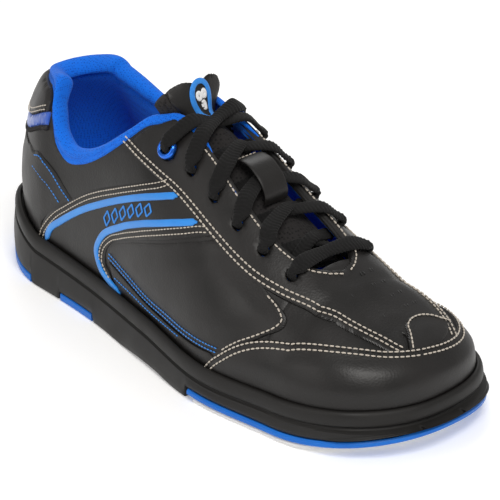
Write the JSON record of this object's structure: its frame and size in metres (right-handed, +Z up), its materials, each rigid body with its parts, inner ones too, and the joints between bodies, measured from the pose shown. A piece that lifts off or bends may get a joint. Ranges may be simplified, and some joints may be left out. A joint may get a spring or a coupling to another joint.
{
  "type": "bowling shoe",
  "caption": "Low-cut laced right bowling shoe: black leather panels, blue collar and stripes, padded tongue, loose footbed, black cup sole with blue inlays and a white slide pad.",
  "frame": {"origin": "on the ground, under the centre of the sole's outline", "axes": "-Y points to the toe, +Y to the heel, +X to the medial side of this right shoe, +Z up"},
  "size_m": [0.1124, 0.2986, 0.1283],
  "materials": {
    "black_leather": "smooth grained, soft sheen",
    "black_rubber": "satin",
    "blue_rubber": "satin",
    "white_suede": "napped microfibre",
    "blue_trim": "satin coated",
    "blue_lining": "fine mesh, matte",
    "black_fabric": "woven, matte",
    "foam": "matte foam",
    "fibre_board": "pressed fibre board, matte",
    "steel": "rolled",
    "blue_metal": "anodised, glossy",
    "aglet_plastic": "glossy"
  },
  "bodies": {
    "shoe": {"aglet_lateral": "aglet_plastic", "aglet_medial": "aglet_plastic", "collar_foam": "foam", "collar_roll": "blue_lining", "eyelet_stay_lateral": "black_fabric", "eyelet_stay_medial": "black_fabric", "eyestay_vamp": "black_leather", "forefoot_plate": "blue_rubber", "heel_band": "blue_trim", "heel_counter": "fibre_board", "heel_inlay_front": "blue_rubber", "heel_inlay_rear": "blue_rubber", "heel_overlay": "black_leather", "heel_piping": "black_rubber", "heel_tab": "black_fabric", "insole_board": "fibre_board", "lace": "black_fabric", "lining_lateral": "blue_lining", "lining_medial": "blue_lining", "lower_side_panel_lateral": "black_leather", "lower_side_panel_medial": "black_leather", "lower_stripe_lateral": "blue_trim", "lower_stripe_medial": "blue_trim", "midfoot_panel_lateral": "black_leather", "midfoot_panel_medial": "black_leather", "midsole_wedge": "foam", "outsole": "black_rubber", "quarter_lateral": "black_leather", "quarter_medial": "black_leather", "saddle_panel_lateral": "black_leather", "saddle_panel_medial": "black_leather", "shank": "steel", "slide_pad": "white_suede", "toe_cap": "black_leather", "toe_puff": "fibre_board", "toe_tip": "black_leather", "top_eyelet_lateral": "blue_metal", "top_eyelet_medial": "blue_metal", "upper_stripe_lateral": "blue_trim", "upper_stripe_medial": "blue_trim", "vamp": "black_leather", "vamp_lining": "black_fabric"},
    "tongue": {"tongue": "black_fabric", "tongue_lining": "blue_lining", "tongue_patch": "black_leather", "lace_keeper": "black_leather"},
    "footbed": {"sockliner": "blue_lining"}
  },
  "joints": [
    {"name": "tongue_hinge", "type": "hinge", "parent": "shoe", "child": "tongue", "pos_m": [0, -0.07875, 0.058], "axis": [1, 0, 0], "range_deg": [-1.4, 0.5]},
    {"name": "footbed_lift", "type": "hinge", "parent": "shoe", "child": "footbed", "pos_m": [0.00416, -0.13405, 0.02254], "axis": [1, 0, 0], "range_deg": [0, 5]}
  ]
}
